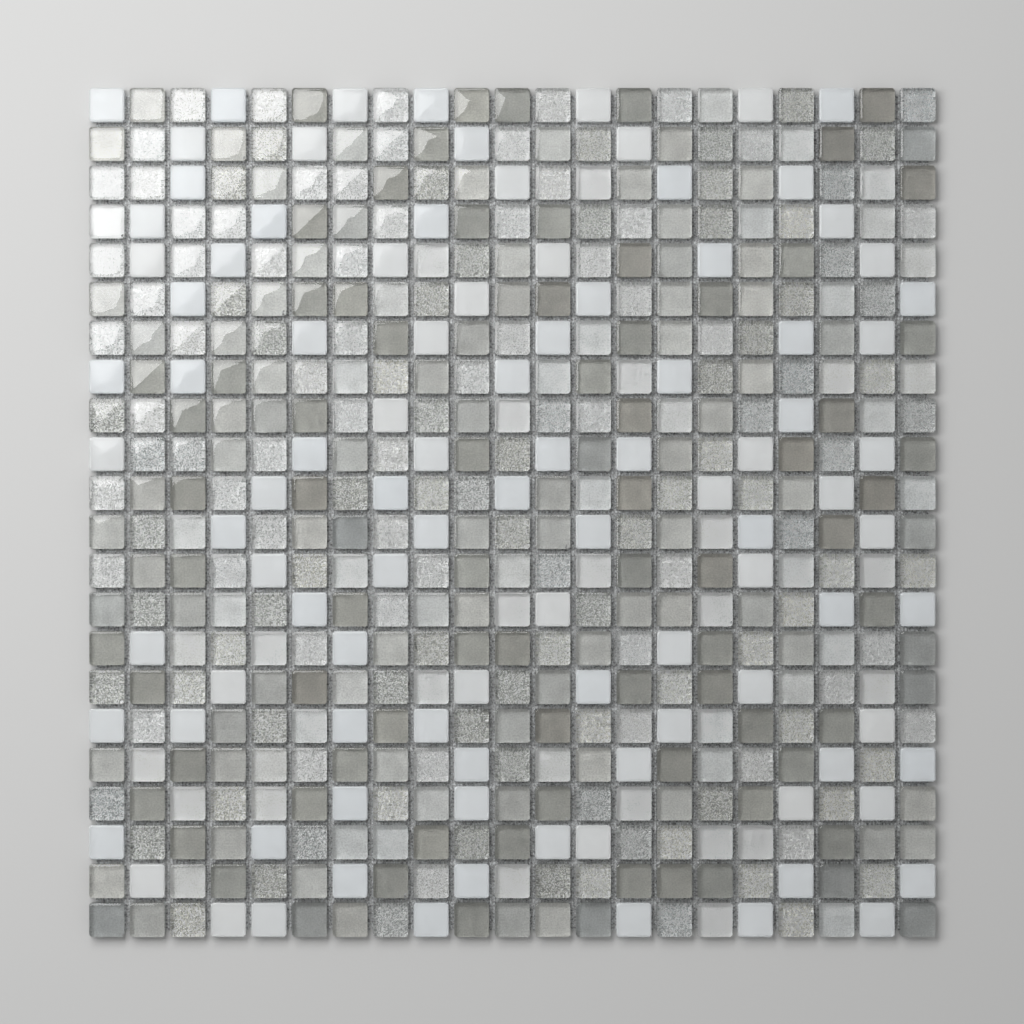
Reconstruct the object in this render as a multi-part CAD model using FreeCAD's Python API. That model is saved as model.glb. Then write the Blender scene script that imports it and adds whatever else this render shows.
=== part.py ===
"""Mosaic tile sheet: small glass chips laid in straight rows on one thin net.

The sheet lies flat with the chips on top. X runs along a row of chips, Y runs
up the columns, Z points up from the floor. The middle of the underside is the
origin. Every kind of chip is one file of separate chips that don't touch.
"""
import FreeCAD, Part
import os

os.makedirs("parts", exist_ok=True)

# Sizes in millimetres

# A chip along a row
chip_length = 12.45
# A chip along a column
chip_width = 12.1
# A chip from its back to its face
chip_thickness = 4.0
# The flat that stands for the rounded edge round the face of a chip
chip_edge = 0.9
# The open joint between two chips of one row
row_joint = 1.9
# The open joint between two chips of one column
column_joint = 1.63
# The net under the chips
net_thickness = 0.5
# How far the net stays back from the outer sides of the outermost chips
net_setback = 2.0

# The kinds of chip on the sheet, each with the letter that the plan uses
chip_kinds = {
    "W": "chips_opal_white",
    "P": "chips_pale_grey",
    "M": "chips_mid_grey",
    "D": "chips_dark_grey",
    "T": "chips_taupe",
    "N": "chips_slate",
    "S": "chips_silver_glitter",
    "K": "chips_pewter_glitter",
    "B": "chips_steel_glitter",
    "C": "chips_champagne_glitter",
    "H": "chips_pearl_shimmer",
}

# The laying plan, first row at the far side of the sheet, one letter for each
# chip. It was read by eye, chip by chip, as a tiler would note down a sheet.
laying_plan = [
    "WMSWSDWSWDDSWDSPWKWTB",
    "MSWMKWMSDWSMKWMKSPTKN",
    "HSWKMSHDKMWSPMWKMWBPT",
    "PWSSWDMSWDSDKSMKPCWPH",
    "HWHWSMSWPKMWSTMWMDBWP",
    "MSWKMDDPKWMTWSMDMKPBW",
    "SMSMKWSDWMHWPDMHKWMWD",
    "WDWDMSPCMSWPDPWKMBPCP",
    "KSDMMDHWKMPBSTPMBWTPB",
    "WBBMSWMSWDKWNWMCWTBWD",
    "SMDSWTKWCBWMPTCWCMWTP",
    "MKPWSMNSWMKMWKMPWBTWN",
    "SMDHWCPWSDPBPDSTWPCPC",
    "NKMPKWDHPMPWKMMPMCWDW",
    "DWPCPHWMKDDCMHWDCMPSN",
    "KDCWMTPKPWKMWDCDWPSPN",
    "WSWMKPWDWKMTCHWPDCDWH",
    "MPDMPSDMHWKPMWDPSDWCW",
    "BDPCPDWCPWMDBPMKDWCWM",
    "WKDMWBPPDKDWWBCPPSDMM",
    "MWPDKMWDHWPKCDDDCWNCW",
    "NMCWWNMBWDMMNWBPWCPWN",
]


def make_chip():
    """One chip: a flat glass block with its face edges taken off."""
    corner = FreeCAD.Vector(-chip_length / 2, -chip_width / 2, 0)
    block = Part.makeBox(chip_length, chip_width, chip_thickness, corner)
    face_edges = [edge for edge in block.Edges if is_on_face(edge)]
    return block.makeChamfer(chip_edge, face_edges)


def is_on_face(edge):
    """True for the four edges round the face of a chip."""
    return edge.BoundBox.ZMin > chip_thickness * 0.999


def chip_place(row, column):
    """The middle of the back of the chip in this row and column."""
    columns = len(laying_plan[0])
    rows = len(laying_plan)
    x = (column - (columns - 1) / 2) * (chip_length + row_joint)
    y = ((rows - 1) / 2 - row) * (chip_width + column_joint)
    return FreeCAD.Vector(x, y, net_thickness)


def places_of_kind(letter):
    """The places of all chips of one kind."""
    places = []
    for row, letters in enumerate(laying_plan):
        for column, found in enumerate(letters):
            if found == letter:
                places.append(chip_place(row, column))
    return places


def make_kind(letter, chip):
    """All chips of one kind, each a solid of its own."""
    chips = []
    for place in places_of_kind(letter):
        laid = chip.copy()
        laid.translate(place)
        chips.append(laid)
    return Part.makeCompound(chips)


def make_net():
    """The net as one thin sheet, a little smaller than the field of chips."""
    columns = len(laying_plan[0])
    rows = len(laying_plan)
    length = columns * chip_length + (columns - 1) * row_joint - 2 * net_setback
    width = rows * chip_width + (rows - 1) * column_joint - 2 * net_setback
    corner = FreeCAD.Vector(-length / 2, -width / 2, 0)
    return Part.makeBox(length, width, net_thickness, corner)


def main():
    """Writes one file for the net and one for each kind of chip."""
    make_net().exportStep("parts/backing_net.step")
    chip = make_chip()
    for letter, name in chip_kinds.items():
        make_kind(letter, chip).exportStep("parts/" + name + ".step")


main()
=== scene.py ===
"""Looks of a sheet of glass mosaic: bevelled chips of clear and opal glass on a fine net.

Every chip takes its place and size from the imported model. All values are in metres.
"""
import math
import random

import bmesh
import bpy
from bpy.props import FloatProperty, FloatVectorProperty, IntProperty, PointerProperty
from mathutils import Matrix, Vector, noise


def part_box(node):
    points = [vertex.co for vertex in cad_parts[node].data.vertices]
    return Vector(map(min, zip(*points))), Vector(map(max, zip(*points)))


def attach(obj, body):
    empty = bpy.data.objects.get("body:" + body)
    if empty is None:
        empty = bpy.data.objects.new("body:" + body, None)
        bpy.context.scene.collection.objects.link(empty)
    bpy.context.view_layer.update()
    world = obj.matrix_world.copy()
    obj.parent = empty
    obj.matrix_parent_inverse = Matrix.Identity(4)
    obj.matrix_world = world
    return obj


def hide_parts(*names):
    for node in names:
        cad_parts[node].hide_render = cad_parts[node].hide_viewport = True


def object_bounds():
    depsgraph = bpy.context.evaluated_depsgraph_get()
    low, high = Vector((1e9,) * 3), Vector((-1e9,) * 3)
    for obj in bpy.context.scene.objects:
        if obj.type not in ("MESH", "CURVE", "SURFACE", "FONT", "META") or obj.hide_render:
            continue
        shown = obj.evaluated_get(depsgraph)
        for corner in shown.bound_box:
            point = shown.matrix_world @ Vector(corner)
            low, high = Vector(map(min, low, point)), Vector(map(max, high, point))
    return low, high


bl_info = {
    "name": "Mosaic Tile Sheet",
    "version": (1, 0, 0),
    "blender": (4, 5, 0),
    "location": "View3D > Sidebar > Mosaic",
    "description": "Dresses the packed mosaic sheet with glass chips, its net and a pale floor",
    "category": "Object",
}

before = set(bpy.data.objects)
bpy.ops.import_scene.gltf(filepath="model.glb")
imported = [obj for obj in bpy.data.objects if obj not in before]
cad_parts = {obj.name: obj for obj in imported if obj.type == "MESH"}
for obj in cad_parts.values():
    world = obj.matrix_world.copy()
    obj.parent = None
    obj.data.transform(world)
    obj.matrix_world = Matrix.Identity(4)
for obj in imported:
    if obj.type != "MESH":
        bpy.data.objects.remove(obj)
cad_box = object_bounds()

BODY = "root"
PLAIN_KINDS = ("pale_grey", "mid_grey", "dark_grey", "taupe", "slate")
GLITTER_KINDS = (
    "silver_glitter",
    "pewter_glitter",
    "steel_glitter",
    "champagne_glitter",
    "pearl_shimmer",
)
FINE_KIND = "pearl_shimmer"

LAYING_SEED = 41
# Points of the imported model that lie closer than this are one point
SAME_POINT = 0.00002
# A face whose normal rises more than this looks straight up
UP_ABOVE = 0.9999
# A face whose normal rises less than this is the back of a chip
BACK_BELOW = -0.9
# Any other face whose normal rises less than this is a wall of a chip
WALL_BELOW = 0.3
# The share of its play that a chip slips sideways at most
SLIP_SHARE = 0.15
# Edges that bend less than these are shaded as smooth
SMOOTH_CHIP = math.radians(5)
SMOOTH_STRAND = math.radians(30)
# How far the floor lies under the net
FLOOR_GAP = 0.00005
# How far the camera stands off the middle of the sheet, along a row and up a column
EYE_OFFSET = (-0.00009, 0.00014)

# How strongly the two kinds of glass bend light
CLEAR_IOR = 1.56
OPAL_IOR = 1.38
# The share of light that passes through the opal glass
OPAL_CLEARNESS = 0.55
# Roughness of the paint and of the flakes on the backs
BACK_ROUGHNESS = 0.56
# Features to the metre: clouds and grain in the paint, glue on the yarn, tooth of the floor
CLOUDS_PER_METRE = 140.0
GRAIN_PER_METRE = 1700.0
GLUE_PER_METRE = 1500.0
TOOTH_PER_METRE = 900.0
# The paint's shade where clouds and grain are darkest, and what each adds at its brightest
DARKEST_PAINT = 0.53
CLOUD_GAIN = 0.4
GRAIN_GAIN = 0.55
# Painted glints: the shade of the dullest and of the brightest flake, a spread of brightness that stands
# in for flakes catching the light, and how far flakes lean
DULLEST_FLAKE_GLINT = 0.64
BRIGHTEST_FLAKE_GLINT = 2.7
FLAKE_LEAN = 0.4
# How much lighter or darker a chip may be than its kind
OPAL_TONE = 0.015
PAINT_TONE = 0.12
FLAKE_TONE = 0.1
# The coolest and the warmest cast that a chip may have
COOLEST = (0.99, 1.0, 1.01, 1.0)
WARMEST = (1.01, 1.0, 0.988, 1.0)
# How fast the wander of a strand changes along it, from strand to strand and from layer to layer
WANDER_ALONG = 30.0
WANDER_STEP = 0.37
WANDER_LAYER = 9.0


def colour_field(name, red, green, blue, words):
    """A colour that a user may set."""
    return FloatVectorProperty(
        name=name,
        description=words,
        subtype="COLOR",
        size=3,
        min=0.0,
        max=1.0,
        default=(red, green, blue),
    )


def length_field(name, default, words):
    """A length that a user may set, in metres."""
    return FloatProperty(
        name=name, description=words, default=default, min=0.0, precision=5, unit="LENGTH"
    )


def angle_field(name, default, words):
    """An angle that a user may set, in radians."""
    return FloatProperty(name=name, description=words, default=default, subtype="ANGLE")


def power_field(name, default, words):
    """The power of a lamp that a user may set, in watts."""
    return FloatProperty(name=name, description=words, default=default, unit="POWER")


def number_field(name, default, words):
    """A plain number that a user may set."""
    return FloatProperty(name=name, description=words, default=default)


class ChipShape(bpy.types.PropertyGroup):
    """The form of one glass chip and how evenly the chips are laid."""

    corner: length_field("Corner", 0.00075, "How far the upright corners are cut back")
    arris: length_field("Arris", 0.00022, "Width of the steep band at the wall")
    arris_rise: length_field("Arris rise", 0.00027, "Height that the arris gains")
    roll: length_field("Roll", 0.00026, "Width of the rolled band inside the arris")
    roll_rise: length_field("Roll rise", 0.0001, "Height that the roll gains")
    shoulder: length_field("Shoulder", 0.00034, "Width of the sloped band inside the roll")
    shoulder_rise: length_field("Shoulder rise", 0.000063, "Height that the shoulder gains")
    crown: length_field("Crown", 0.0005, "Width of the gentle band inside the shoulder")
    crown_rise: length_field("Crown rise", 0.000042, "Height that the crown gains")
    centre_rise: length_field("Centre rise", 0.00003, "Height that the middle gains")
    swell: length_field("Swell", 0.000015, "How much the middle of a chip may be higher or lower")
    play: length_field("Play", 0.00003, "Clearance on each side of a chip in its place")
    tilt: angle_field("Tilt", 0.0035, "Most that a chip leans")
    turn: angle_field("Turn", 0.002, "Most that a chip is turned")


class PaintColours(bpy.types.PropertyGroup):
    """The opal glass, the paints on the backs of the plain chips, the clear glass and its dark walls,
    which are painted shade.
    """

    opal_white: colour_field("Opal white", 0.945, 0.965, 0.975, "White paint and milky glass")
    pale_grey: colour_field("Pale grey", 0.975, 0.985, 0.975, "Pale paint")
    mid_grey: colour_field("Mid grey", 0.74, 0.74, 0.715, "Mid paint")
    dark_grey: colour_field("Dark grey", 0.545, 0.545, 0.51, "Dark warm paint")
    taupe: colour_field("Taupe", 0.50, 0.485, 0.445, "Brownish paint")
    slate: colour_field("Slate", 0.585, 0.60, 0.595, "Blue-grey paint")
    glass: colour_field("Clear glass", 0.965, 0.975, 0.97, "Tint of the clear glass")
    # Painted shade: the dark tint of the walls stands in for the dark outlines and shadow bands along the
    # chip edges
    wall: colour_field("Walls", 0.35, 0.37, 0.36, "Tint of the clear glass at its walls")
    scatter: number_field("Scatter", 0.4, "How far the dust in the paint leans")


class GlitterColours(bpy.types.PropertyGroup):
    """The flakes on the backs of the glitter chips."""

    silver_glitter: colour_field("Silver", 0.99, 1.0, 0.985, "Bright coarse flakes")
    pewter_glitter: colour_field("Pewter", 0.62, 0.625, 0.595, "Dark flakes")
    steel_glitter: colour_field("Steel", 0.685, 0.705, 0.705, "Blue-grey flakes")
    champagne_glitter: colour_field("Champagne", 0.865, 0.865, 0.805, "Warm pale flakes")
    pearl_shimmer: colour_field("Pearl", 0.99, 1.0, 0.99, "Fine pale flakes")
    flake: length_field("Flake", 0.00036, "Width of a coarse flake")
    fine_flake: length_field("Fine flake", 0.00028, "Width of a fine flake")


class NetWeave(bpy.types.PropertyGroup):
    """The net under the chips."""

    pitch: length_field("Pitch", 0.00127, "Distance from strand to strand")
    strand: length_field("Strand", 0.00062, "Width of a strand")
    wander: length_field("Wander", 0.00009, "How far a strand strays sideways")
    bends: IntProperty(name="Bends", description="Cuts along a strand", default=20, min=1)
    yarn: colour_field("Yarn", 0.46, 0.47, 0.475, "Pale glass yarn with dried glue")


class StageSetup(bpy.types.PropertyGroup):
    """The floor, the lamps and the camera."""

    floor_width: length_field("Floor", 4.0, "Width of the floor")
    floor: colour_field("Floor colour", 0.6, 0.6, 0.595, "Pale matt floor")
    eye_height: length_field("Camera height", 1.2, "Height of the camera over the chips")
    view_width: length_field("View", 0.3621, "Width seen at the chips' faces")
    lamp_distance: length_field("Lamp distance", 0.85, "Distance of the pair of lamps from the sheet")
    lamp_lean: angle_field("Lamp lean", 0.48, "Lean of the pair off the vertical")
    near_width: length_field("Near lamp width", 0.204, "Size of the inner lamp along the lean")
    near_length: length_field("Near lamp length", 0.34, "Size of the inner lamp across the lean")
    near_power: power_field("Near lamp power", 1.1, "Power of the inner lamp")
    far_width: length_field("Far lamp width", 0.3, "Size of the outer lamp along the lean")
    far_length: length_field("Far lamp length", 1.0, "Size of the outer lamp across the lean")
    far_power: power_field("Far lamp power", 5.3, "Power of the outer lamp")
    sky: number_field("Sky", 0.36, "Strength of the even light all round")


SETTINGS = {
    "chip_shape": ChipShape,
    "paint_colours": PaintColours,
    "glitter_colours": GlitterColours,
    "net_weave": NetWeave,
    "stage_setup": StageSetup,
}


def settings(name):
    """One group of settings of this scene."""
    return getattr(bpy.context.scene, "mosaic_" + name)


# Helpers for modelling


def select_none():
    """Leaves edit mode and lets go of every object."""
    if bpy.context.mode != "OBJECT":
        bpy.ops.object.mode_set(mode="OBJECT")
    bpy.ops.object.select_all(action="DESELECT")


def select_edges(piece, wanted):
    """In edit mode, selects only the edges for which wanted says yes."""
    bpy.ops.mesh.select_mode(type="EDGE")
    bpy.ops.mesh.select_all(action="DESELECT")
    shape = bmesh.from_edit_mesh(piece.data)
    for edge in shape.edges:
        if wanted(edge):
            edge.select_set(True)
    bmesh.update_edit_mesh(piece.data)


def select_faces(piece, wanted):
    """In edit mode, selects only the faces for which wanted says yes."""
    bpy.ops.mesh.select_mode(type="FACE")
    bpy.ops.mesh.select_all(action="DESELECT")
    shape = bmesh.from_edit_mesh(piece.data)
    shape.normal_update()
    for face in shape.faces:
        if wanted(face):
            face.select_set(True)
    bmesh.update_edit_mesh(piece.data)


def add_block(name, size, middle):
    """A block of this size round this middle, with its place in its mesh."""
    select_none()
    bpy.ops.mesh.primitive_cube_add(size=1.0, location=middle)
    block = bpy.context.object
    block.name = name
    block.scale = size
    bpy.ops.object.transform_apply(location=True, rotation=True, scale=True)
    return block


def join(pieces, name):
    """Makes one object of several."""
    select_none()
    for piece in pieces:
        piece.select_set(True)
    bpy.context.view_layer.objects.active = pieces[0]
    bpy.ops.object.join()
    whole = bpy.context.object
    whole.name = name
    whole.data.name = name
    return whole


def dress(piece, nodes):
    """Hides the nodes that a piece stands for and hangs the piece on the body."""
    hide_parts(*nodes)
    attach(piece, BODY)


# Helpers for materials


def new_material(name):
    """A material with only its output, and its node tree."""
    material = bpy.data.materials.new(name)
    material.use_nodes = True
    tree = material.node_tree
    tree.nodes.clear()
    tree.nodes.new("ShaderNodeOutputMaterial")
    return material, tree


def add_node(tree, kind, **values):
    """A node of this kind with values set on it or on its inputs."""
    node = tree.nodes.new("ShaderNode" + kind)
    for key, value in values.items():
        if hasattr(node, key):
            setattr(node, key, value)
        else:
            node.inputs[key.replace("_", " ")].default_value = value
    return node


def wire(tree, start, end):
    """Joins an output to an input."""
    tree.links.new(start, end)


def finish_surface(tree, shader):
    """Leads a shader to the output."""
    output = next(node for node in tree.nodes if node.type == "OUTPUT_MATERIAL")
    wire(tree, shader.outputs[0], output.inputs["Surface"])


def math_node(tree, operation, *values):
    """The product, power or such of two or three values, each a socket or a number."""
    node = add_node(tree, "Math", operation=operation)
    for socket, value in zip(node.inputs, values):
        if isinstance(value, (int, float)):
            socket.default_value = value
        else:
            wire(tree, value, socket)
    return node.outputs[0]


def chip_mark(tree, name):
    """A value that each chip carries, from -1 to 1."""
    return add_node(tree, "Attribute", attribute_name=name).outputs["Fac"]


def texture(tree, kind, **values):
    """A procedural texture laid out by where a point lies on the object."""
    node = add_node(tree, kind, **values)
    place = add_node(tree, "TexCoord").outputs["Object"]
    wire(tree, place, node.inputs["Vector"])
    return node


def plain_colour(tree, colour):
    """One colour as a socket."""
    node = add_node(tree, "RGB")
    node.outputs[0].default_value = (*colour, 1.0)
    return node.outputs[0]


def shaded(tree, colour, factor):
    """The colour made lighter or darker by a factor, both given as sockets."""
    node = add_node(tree, "VectorMath", operation="SCALE")
    wire(tree, colour, node.inputs[0])
    wire(tree, factor, node.inputs["Scale"])
    return node.outputs[0]


def toned(tree, colour, amount):
    """The colour made darker or lighter chip by chip, and warmer or cooler."""
    cast = add_node(tree, "Mix", data_type="RGBA", blend_type="MIX")
    warmth = math_node(tree, "MULTIPLY_ADD", chip_mark(tree, "warmth"), 0.5, 0.5)
    wire(tree, warmth, cast.inputs["Factor"])
    cast.inputs["A"].default_value = COOLEST
    cast.inputs["B"].default_value = WARMEST
    tint = add_node(tree, "Mix", data_type="RGBA", blend_type="MULTIPLY")
    tint.inputs["Factor"].default_value = 1.0
    wire(tree, colour, tint.inputs["A"])
    wire(tree, cast.outputs["Result"], tint.inputs["B"])
    lightness = math_node(tree, "MULTIPLY_ADD", chip_mark(tree, "tone"), amount, 1.0)
    return shaded(tree, tint.outputs["Result"], lightness)


def clear_glass(name, tint, roughness):
    """Clear cast glass of this tint."""
    material, tree = new_material(name)
    glass = add_node(tree, "BsdfPrincipled", Base_Color=(*tint, 1.0), Roughness=roughness, IOR=CLEAR_IOR)
    glass.inputs["Transmission Weight"].default_value = 1.0
    finish_surface(tree, glass)
    return material


def clear_finishes():
    """The clear glass at the face of a chip and the darker one at its walls, darkened as painted shade
    for the dark outlines and shadow bands along the chip edges.
    """
    colours = settings("paint_colours")
    return clear_glass("clear_glass", colours.glass, 0.02), clear_glass("painted_shade_wall_glass", colours.wall, 0.05)


def opal_glass():
    """Milky white glass that lets some light through to its back."""
    material, tree = new_material("opal_white_glass")
    base = plain_colour(tree, settings("paint_colours").opal_white)
    glass = add_node(tree, "BsdfPrincipled", Roughness=0.05, IOR=OPAL_IOR)
    glass.inputs["Transmission Weight"].default_value = OPAL_CLEARNESS
    wire(tree, toned(tree, base, OPAL_TONE), glass.inputs["Base Color"])
    finish_surface(tree, glass)
    return material


def scattered_normal(tree, source, spread):
    """The normal leaned each way as the colour of the source says, by up to half the spread."""
    lean = add_node(tree, "VectorMath", operation="SUBTRACT")
    wire(tree, source.outputs["Color"], lean.inputs[0])
    lean.inputs[1].default_value = (0.5, 0.5, 0.5)
    leaned = add_node(tree, "VectorMath", operation="MULTIPLY_ADD")
    wire(tree, lean.outputs[0], leaned.inputs[0])
    leaned.inputs[1].default_value = (spread, spread, 0.0)
    wire(tree, add_node(tree, "NewGeometry").outputs["Normal"], leaned.inputs[2])
    straight = add_node(tree, "VectorMath", operation="NORMALIZE")
    wire(tree, leaned.outputs[0], straight.inputs[0])
    return straight.outputs[0]


def back_paint(kind, metal):
    """Paint on the back of a chip, a little cloudy, plain or full of fine metal dust."""
    colours = settings("paint_colours")
    material, tree = new_material(kind + "_paint")
    clouds = texture(tree, "TexNoise", Scale=CLOUDS_PER_METRE, Detail=2.0)
    grain = texture(tree, "TexNoise", Scale=GRAIN_PER_METRE, Detail=1.0)
    cloud = math_node(tree, "MULTIPLY_ADD", clouds.outputs["Fac"], CLOUD_GAIN, DARKEST_PAINT)
    shade = math_node(tree, "MULTIPLY_ADD", grain.outputs["Fac"], GRAIN_GAIN, cloud)
    cloudy = shaded(tree, plain_colour(tree, getattr(colours, kind)), shade)
    dust = texture(tree, "TexWhiteNoise")
    paint = add_node(tree, "BsdfPrincipled", Roughness=BACK_ROUGHNESS, Metallic=metal)
    wire(tree, scattered_normal(tree, dust, colours.scatter), paint.inputs["Normal"])
    wire(tree, toned(tree, cloudy, PAINT_TONE * metal), paint.inputs["Base Color"])
    finish_surface(tree, paint)
    return material


def back_glitter(kind):
    """Metal flakes in lacquer on the back of a chip, with painted glints: a few flakes are made brighter
    in colour as if they caught the light.
    """
    colours = settings("glitter_colours")
    width = colours.fine_flake if kind == FINE_KIND else colours.flake
    material, tree = new_material(kind + "_flakes")
    flakes = texture(tree, "TexVoronoi", Scale=1.0 / width)
    parts = add_node(tree, "SeparateColor")
    wire(tree, flakes.outputs["Color"], parts.inputs[0])
    # Painted glints: flake brightness, mostly dull with a few bright, stands in for flakes that catch the
    # light
    shade = add_node(tree, "MapRange", From_Min=0.0, From_Max=1.0, To_Min=DULLEST_FLAKE_GLINT, To_Max=BRIGHTEST_FLAKE_GLINT)
    wire(tree, math_node(tree, "POWER", parts.outputs[0], 2.0), shade.inputs["Value"])
    painted_glints = shaded(tree, plain_colour(tree, getattr(colours, kind)), shade.outputs[0])
    metal = add_node(tree, "BsdfPrincipled", Roughness=BACK_ROUGHNESS, Metallic=1.0)
    wire(tree, toned(tree, painted_glints, FLAKE_TONE), metal.inputs["Base Color"])
    wire(tree, scattered_normal(tree, flakes, FLAKE_LEAN), metal.inputs["Normal"])
    finish_surface(tree, metal)
    return material


def net_yarn():
    """Pale glass yarn, grainy with dried glue."""
    material, tree = new_material("net_yarn")
    glue = texture(tree, "TexNoise", Scale=GLUE_PER_METRE, Detail=3.0)
    shade = add_node(tree, "MapRange", From_Min=0.32, From_Max=0.68, To_Min=0.25, To_Max=1.75)
    wire(tree, glue.outputs["Fac"], shade.inputs["Value"])
    mottled = shaded(tree, plain_colour(tree, settings("net_weave").yarn), shade.outputs[0])
    bump = add_node(tree, "Bump", Strength=0.5, Distance=0.0001)
    wire(tree, glue.outputs["Fac"], bump.inputs["Height"])
    yarn = add_node(tree, "BsdfPrincipled", Roughness=0.6)
    wire(tree, mottled, yarn.inputs["Base Color"])
    wire(tree, bump.outputs[0], yarn.inputs["Normal"])
    finish_surface(tree, yarn)
    return material


def floor_paper():
    """Pale matt board with a faint tooth."""
    material, tree = new_material("floor_paper")
    tooth = texture(tree, "TexNoise", Scale=TOOTH_PER_METRE, Detail=2.0)
    bump = add_node(tree, "Bump", Strength=0.12, Distance=0.0002)
    wire(tree, tooth.outputs["Fac"], bump.inputs["Height"])
    colour = (*settings("stage_setup").floor, 1.0)
    paper = add_node(tree, "BsdfPrincipled", Base_Color=colour, Roughness=0.9)
    wire(tree, bump.outputs[0], paper.inputs["Normal"])
    finish_surface(tree, paper)
    return material


# The chips


def chip_boxes(node):
    """The lowest and highest corner of each chip in a node of the model."""
    shape = bmesh.new()
    shape.from_mesh(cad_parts[node].data)
    bmesh.ops.remove_doubles(shape, verts=shape.verts, dist=SAME_POINT)
    left = set(shape.verts)
    boxes = []
    while left:
        block = grow_from(left.pop(), left)
        corners = [[vert.co[axis] for vert in block] for axis in range(3)]
        boxes.append((Vector(map(min, corners)), Vector(map(max, corners))))
    shape.free()
    return sorted(boxes, key=lambda box: (round(box[0].y, 4), round(box[0].x, 4)))


def grow_from(start, left):
    """The points joined to this one, taken out of those left."""
    block = [start]
    for vert in block:
        for edge in vert.link_edges:
            other = edge.other_vert(vert)
            if other in left:
                left.remove(other)
                block.append(other)
    return block


def model_chip(size):
    """One chip with its back on zero, its face drawn in and up from the walls band by band."""
    shape = settings("chip_shape")
    bands = (
        (shape.arris, shape.arris_rise),
        (shape.roll, shape.roll_rise),
        (shape.shoulder, shape.shoulder_rise),
        (shape.crown, shape.crown_rise),
    )
    slack = 2.0 * shape.play
    height = size.z - slack - shape.centre_rise - sum(rise for _, rise in bands)
    length = size.x - slack
    width = size.y - slack
    chip = add_block("chip", (length, width, height), (0.0, 0.0, height / 2))
    bpy.ops.object.mode_set(mode="EDIT")
    select_edges(chip, is_upright)
    bpy.ops.mesh.bevel(offset=shape.corner, segments=1, affect="EDGES")
    select_faces(chip, is_face_up)
    inner = (length / 2, width / 2)
    for band, rise in bands:
        inner = step_in(inner, band, rise)
    bpy.ops.mesh.poke(offset=shape.centre_rise)
    bpy.ops.object.mode_set(mode="OBJECT")
    bpy.ops.object.shade_smooth_by_angle(angle=SMOOTH_CHIP)
    return chip


def step_in(half, width, rise):
    """Raises the selected face and draws it in on all sides; half is its half length and half width."""
    bpy.ops.mesh.extrude_region_move(TRANSFORM_OT_translate={"value": (0.0, 0.0, rise)})
    inner = (half[0] - width, half[1] - width)
    share = (inner[0] / half[0], inner[1] / half[1], 1.0)
    bpy.ops.transform.resize(value=share, center_override=(0.0, 0.0, 0.0))
    return inner


def is_upright(edge):
    """True for an edge that stands straight up."""
    run = edge.verts[0].co - edge.verts[1].co
    return abs(run.z) > abs(run.x) + abs(run.y)


def is_face_up(face):
    """True for a face that looks straight up."""
    return face.normal.z > UP_ABOVE


def lay_chips(kind, materials):
    """Lays all chips of one kind and makes them one piece."""
    boxes = chip_boxes("chips_" + kind)
    low, high = boxes[0]
    master = model_chip(high - low)
    for material in materials:
        master.data.materials.append(material)
    for face in master.data.polygons:
        face.material_index = finish_of(face)
    dice = random.Random(LAYING_SEED + len(kind) * len(boxes))
    chips = [lay_chip(master, low, high, dice) for low, high in boxes]
    bpy.data.objects.remove(master)
    field = join(chips, kind + "_chips")
    dress(field, ["chips_" + kind])
    return field


def finish_of(face):
    """The place in a chip's list of materials: 0 for its face, 1 for its back, 2 for its walls."""
    if face.normal.z < BACK_BELOW:
        return 1
    return 2 if face.normal.z < WALL_BELOW else 0


def lay_chip(master, low, high, dice):
    """A copy of the chip in its place, a little off true, with marks of its own."""
    shape = settings("chip_shape")
    mesh = master.data.copy()
    middle = (low + high) / 2
    slip = Vector((dice.uniform(-1, 1), dice.uniform(-1, 1), 0.0)) * shape.play * SLIP_SHARE
    place = Vector((middle.x, middle.y, low.z + shape.play)) + slip
    lean = Matrix.Rotation(dice.uniform(-1, 1) * shape.tilt, 4, "X")
    lean = lean @ Matrix.Rotation(dice.uniform(-1, 1) * shape.tilt, 4, "Y")
    turn = Matrix.Rotation(dice.uniform(-1, 1) * shape.turn, 4, "Z")
    middle_point = max(mesh.vertices, key=lambda vert: vert.co.z)
    middle_point.co.z += dice.uniform(-2, 0) * shape.swell
    mesh.transform(Matrix.Translation(place) @ lean @ turn)
    for mark in ("tone", "warmth"):
        values = mesh.attributes.new(mark, "FLOAT", "POINT")
        level = dice.uniform(-1, 1)
        values.data.foreach_set("value", [level] * len(mesh.vertices))
    chip = bpy.data.objects.new("chip", mesh)
    bpy.context.collection.objects.link(chip)
    return chip


# The net


def model_strands(along, low, high, base):
    """All strands that run along one axis, at this height, with a slight wander."""
    weave = settings("net_weave")
    across = 1 - along
    thickness = (high.z - low.z) / 2
    size = [weave.strand] * 3
    size[along] = high[along] - low[along]
    size[2] = thickness
    count = int((high[across] - low[across] - weave.strand) / weave.pitch) + 1
    first = (low[across] + high[across] - (count - 1) * weave.pitch) / 2
    middle = [0.0, 0.0, base + thickness / 2]
    middle[along] = (low[along] + high[along]) / 2
    middle[across] = first
    strand = add_block("strand", size, middle)
    bpy.ops.object.mode_set(mode="EDIT")
    select_edges(strand, lambda edge: abs((edge.verts[0].co - edge.verts[1].co)[along]) > size[along] / 2)
    bpy.ops.mesh.subdivide(number_cuts=weave.bends)
    bpy.ops.object.mode_set(mode="OBJECT")
    bpy.ops.object.shade_smooth_by_angle(angle=SMOOTH_STRAND)
    array = strand.modifiers.new("Repeat", "ARRAY")
    array.count = count
    array.use_relative_offset = False
    array.use_constant_offset = True
    step = [0.0, 0.0, 0.0]
    step[across] = weave.pitch
    array.constant_offset_displace = step
    bpy.ops.object.modifier_apply(modifier=array.name)
    let_wander(strand, along, weave)
    return strand


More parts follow.
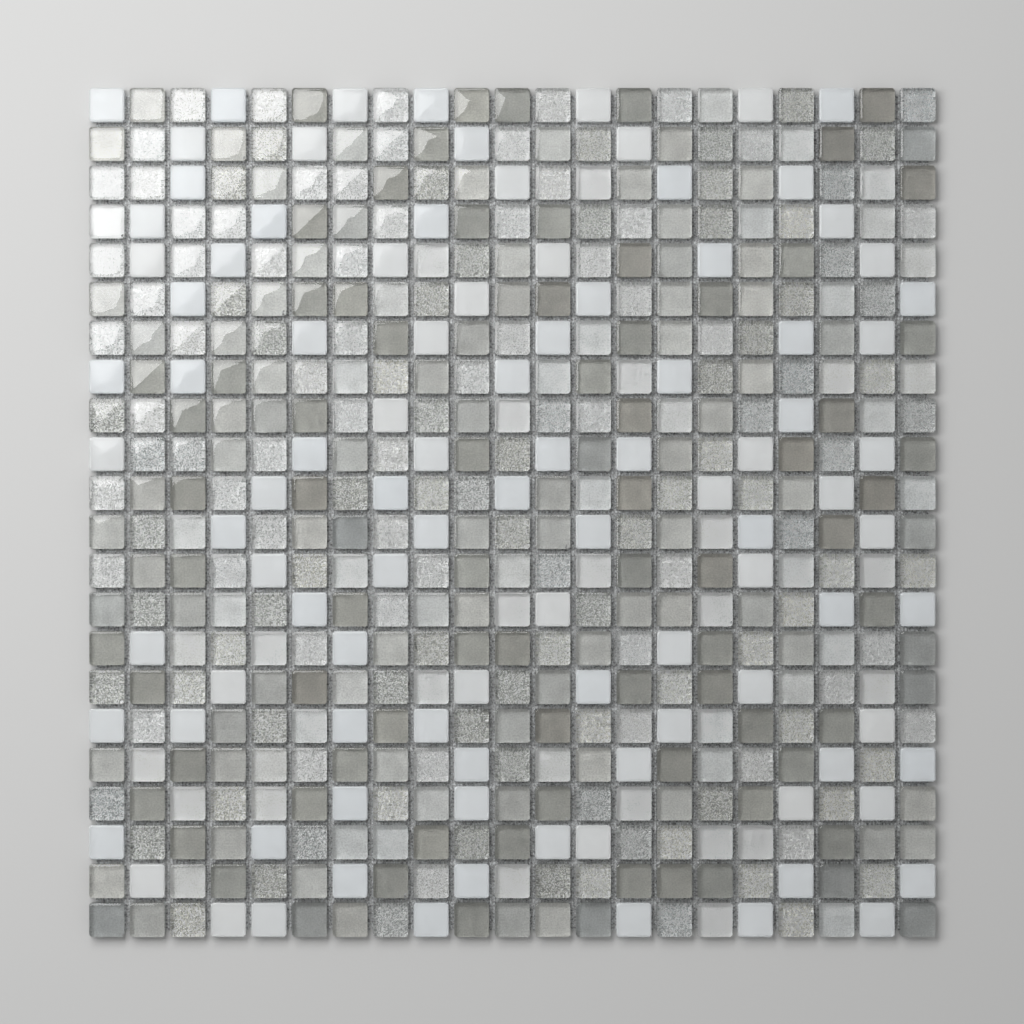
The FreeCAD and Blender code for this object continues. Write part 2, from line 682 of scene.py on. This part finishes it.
def let_wander(strands, along, weave):
    """Moves the strands a little sideways, as a soft net lies."""
    across = 1 - along
    for vert in strands.data.vertices:
        row = round(vert.co[across] / weave.pitch)
        spot = Vector((vert.co[along] * WANDER_ALONG, row * WANDER_STEP, along * WANDER_LAYER))
        vert.co[across] += noise.noise(spot) * weave.wander


# Operators


class MOSAIC_OT_opal_chips(bpy.types.Operator):
    """Lays the chips of milky white glass"""

    bl_idname = "mosaic.opal_chips"
    bl_label = "Opal white chips"

    def execute(self, context):
        opal = opal_glass()
        lay_chips("opal_white", [opal, back_paint("opal_white", 0.0), opal])
        return {"FINISHED"}


class MOSAIC_OT_plain_chips(bpy.types.Operator):
    """Lays the clear chips with plain paint on their backs"""

    bl_idname = "mosaic.plain_chips"
    bl_label = "Plain chips"

    def execute(self, context):
        # The walls get the dark glass that stands in for painted shade along the chip edges
        glass, wall = clear_finishes()
        for kind in PLAIN_KINDS:
            lay_chips(kind, [glass, back_paint(kind, 1.0), wall])
        return {"FINISHED"}


class MOSAIC_OT_glitter_chips(bpy.types.Operator):
    """Lays the clear chips with glitter on their backs"""

    bl_idname = "mosaic.glitter_chips"
    bl_label = "Glitter chips"

    def execute(self, context):
        # The walls get the dark glass that stands in for painted shade along the chip edges
        glass, wall = clear_finishes()
        for kind in GLITTER_KINDS:
            lay_chips(kind, [glass, back_glitter(kind), wall])
        return {"FINISHED"}


class MOSAIC_OT_backing_net(bpy.types.Operator):
    """Weaves the net under the chips"""

    bl_idname = "mosaic.backing_net"
    bl_label = "Backing net"

    def execute(self, context):
        low, high = (Vector(corner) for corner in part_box("backing_net"))
        middle = (low.z + high.z) / 2
        layers = [model_strands(0, low, high, low.z), model_strands(1, low, high, middle)]
        net = join(layers, "net")
        net.data.materials.append(net_yarn())
        dress(net, ["backing_net"])
        return {"FINISHED"}


class MOSAIC_OT_stage(bpy.types.Operator):
    """Sets the floor, the lamps and the camera"""

    bl_idname = "mosaic.stage"
    bl_label = "Stage"

    def execute(self, context):
        setup = settings("stage_setup")
        lay_floor(setup)
        hang_lamps(setup)
        light_sky(setup)
        set_camera(setup)
        return {"FINISHED"}


def lay_floor(setup):
    """A wide pale floor just under the net."""
    select_none()
    height = cad_box[0][2] - FLOOR_GAP
    bpy.ops.mesh.primitive_plane_add(size=setup.floor_width, location=(0.0, 0.0, height))
    floor = bpy.context.object
    floor.name = "floor"
    bpy.ops.object.transform_apply(location=True)
    floor.data.materials.append(floor_paper())


def hang_lamps(setup):
    """Two soft lamps edge to edge beyond the far left corner of the sheet, facing it."""
    aside = Vector((-1.0, 1.0, 0.0)).normalized()
    up = Vector((0.0, 0.0, 1.0))
    outward = aside * math.sin(setup.lamp_lean) + up * math.cos(setup.lamp_lean)
    along = aside * math.cos(setup.lamp_lean) - up * math.sin(setup.lamp_lean)
    middle = outward * setup.lamp_distance
    near_place = middle - along * setup.near_width / 2
    far_place = middle + along * setup.far_width / 2
    hang_lamp("near_lamp", near_place, outward, (setup.near_length, setup.near_width), setup.near_power)
    hang_lamp("far_lamp", far_place, outward, (setup.far_length, setup.far_width), setup.far_power)


def hang_lamp(name, place, outward, size, power):
    """One soft oblong lamp that looks back along outward."""
    select_none()
    bpy.ops.object.light_add(type="AREA", location=place)
    lamp = bpy.context.object
    lamp.name = name
    lamp.rotation_euler = outward.to_track_quat("Z", "Y").to_euler()
    lamp.data.shape = "RECTANGLE"
    lamp.data.size, lamp.data.size_y = size
    lamp.data.energy = power


def light_sky(setup):
    """Even light from all round."""
    world = bpy.data.worlds.new("studio")
    world.use_nodes = True
    light = world.node_tree.nodes["Background"]
    light.inputs["Color"].default_value = (1.0, 1.0, 1.0, 1.0)
    light.inputs["Strength"].default_value = setup.sky
    bpy.context.scene.world = world


def set_camera(setup):
    """A camera above the sheet that looks straight down."""
    select_none()
    height = cad_box[1][2] + setup.eye_height
    bpy.ops.object.camera_add(location=(*EYE_OFFSET, height), rotation=(0.0, 0.0, 0.0))
    camera = bpy.context.object
    camera.name = "camera"
    camera.data.sensor_fit = "HORIZONTAL"
    camera.data.lens = camera.data.sensor_width * setup.eye_height / setup.view_width
    camera.data.clip_start = 0.01
    bpy.context.scene.camera = camera


OPERATORS = (
    MOSAIC_OT_stage,
    MOSAIC_OT_backing_net,
    MOSAIC_OT_opal_chips,
    MOSAIC_OT_plain_chips,
    MOSAIC_OT_glitter_chips,
)


class MOSAIC_PT_panel(bpy.types.Panel):
    """Lists the steps that dress the sheet"""

    bl_label = "Mosaic"
    bl_idname = "MOSAIC_PT_panel"
    bl_space_type = "VIEW_3D"
    bl_region_type = "UI"
    bl_category = "Mosaic"

    def draw(self, context):
        for operator in OPERATORS:
            self.layout.operator(operator.bl_idname)


def register():
    """Makes the settings, the operators and the panel known."""
    for name, group in SETTINGS.items():
        bpy.utils.register_class(group)
        setattr(bpy.types.Scene, "mosaic_" + name, PointerProperty(type=group))
    for item in (*OPERATORS, MOSAIC_PT_panel):
        bpy.utils.register_class(item)


def unregister():
    """Takes them away again."""
    for item in (MOSAIC_PT_panel, *reversed(OPERATORS)):
        bpy.utils.unregister_class(item)
    for name, group in SETTINGS.items():
        delattr(bpy.types.Scene, "mosaic_" + name)
        bpy.utils.unregister_class(group)


def main():
    """Dresses the sheet step by step."""
    register()
    bpy.context.scene.view_settings.view_transform = "Standard"
    bpy.ops.mosaic.stage()
    bpy.ops.mosaic.backing_net()
    bpy.ops.mosaic.opal_chips()
    bpy.ops.mosaic.plain_chips()
    bpy.ops.mosaic.glitter_chips()


if __name__ == "__main__":
    main()
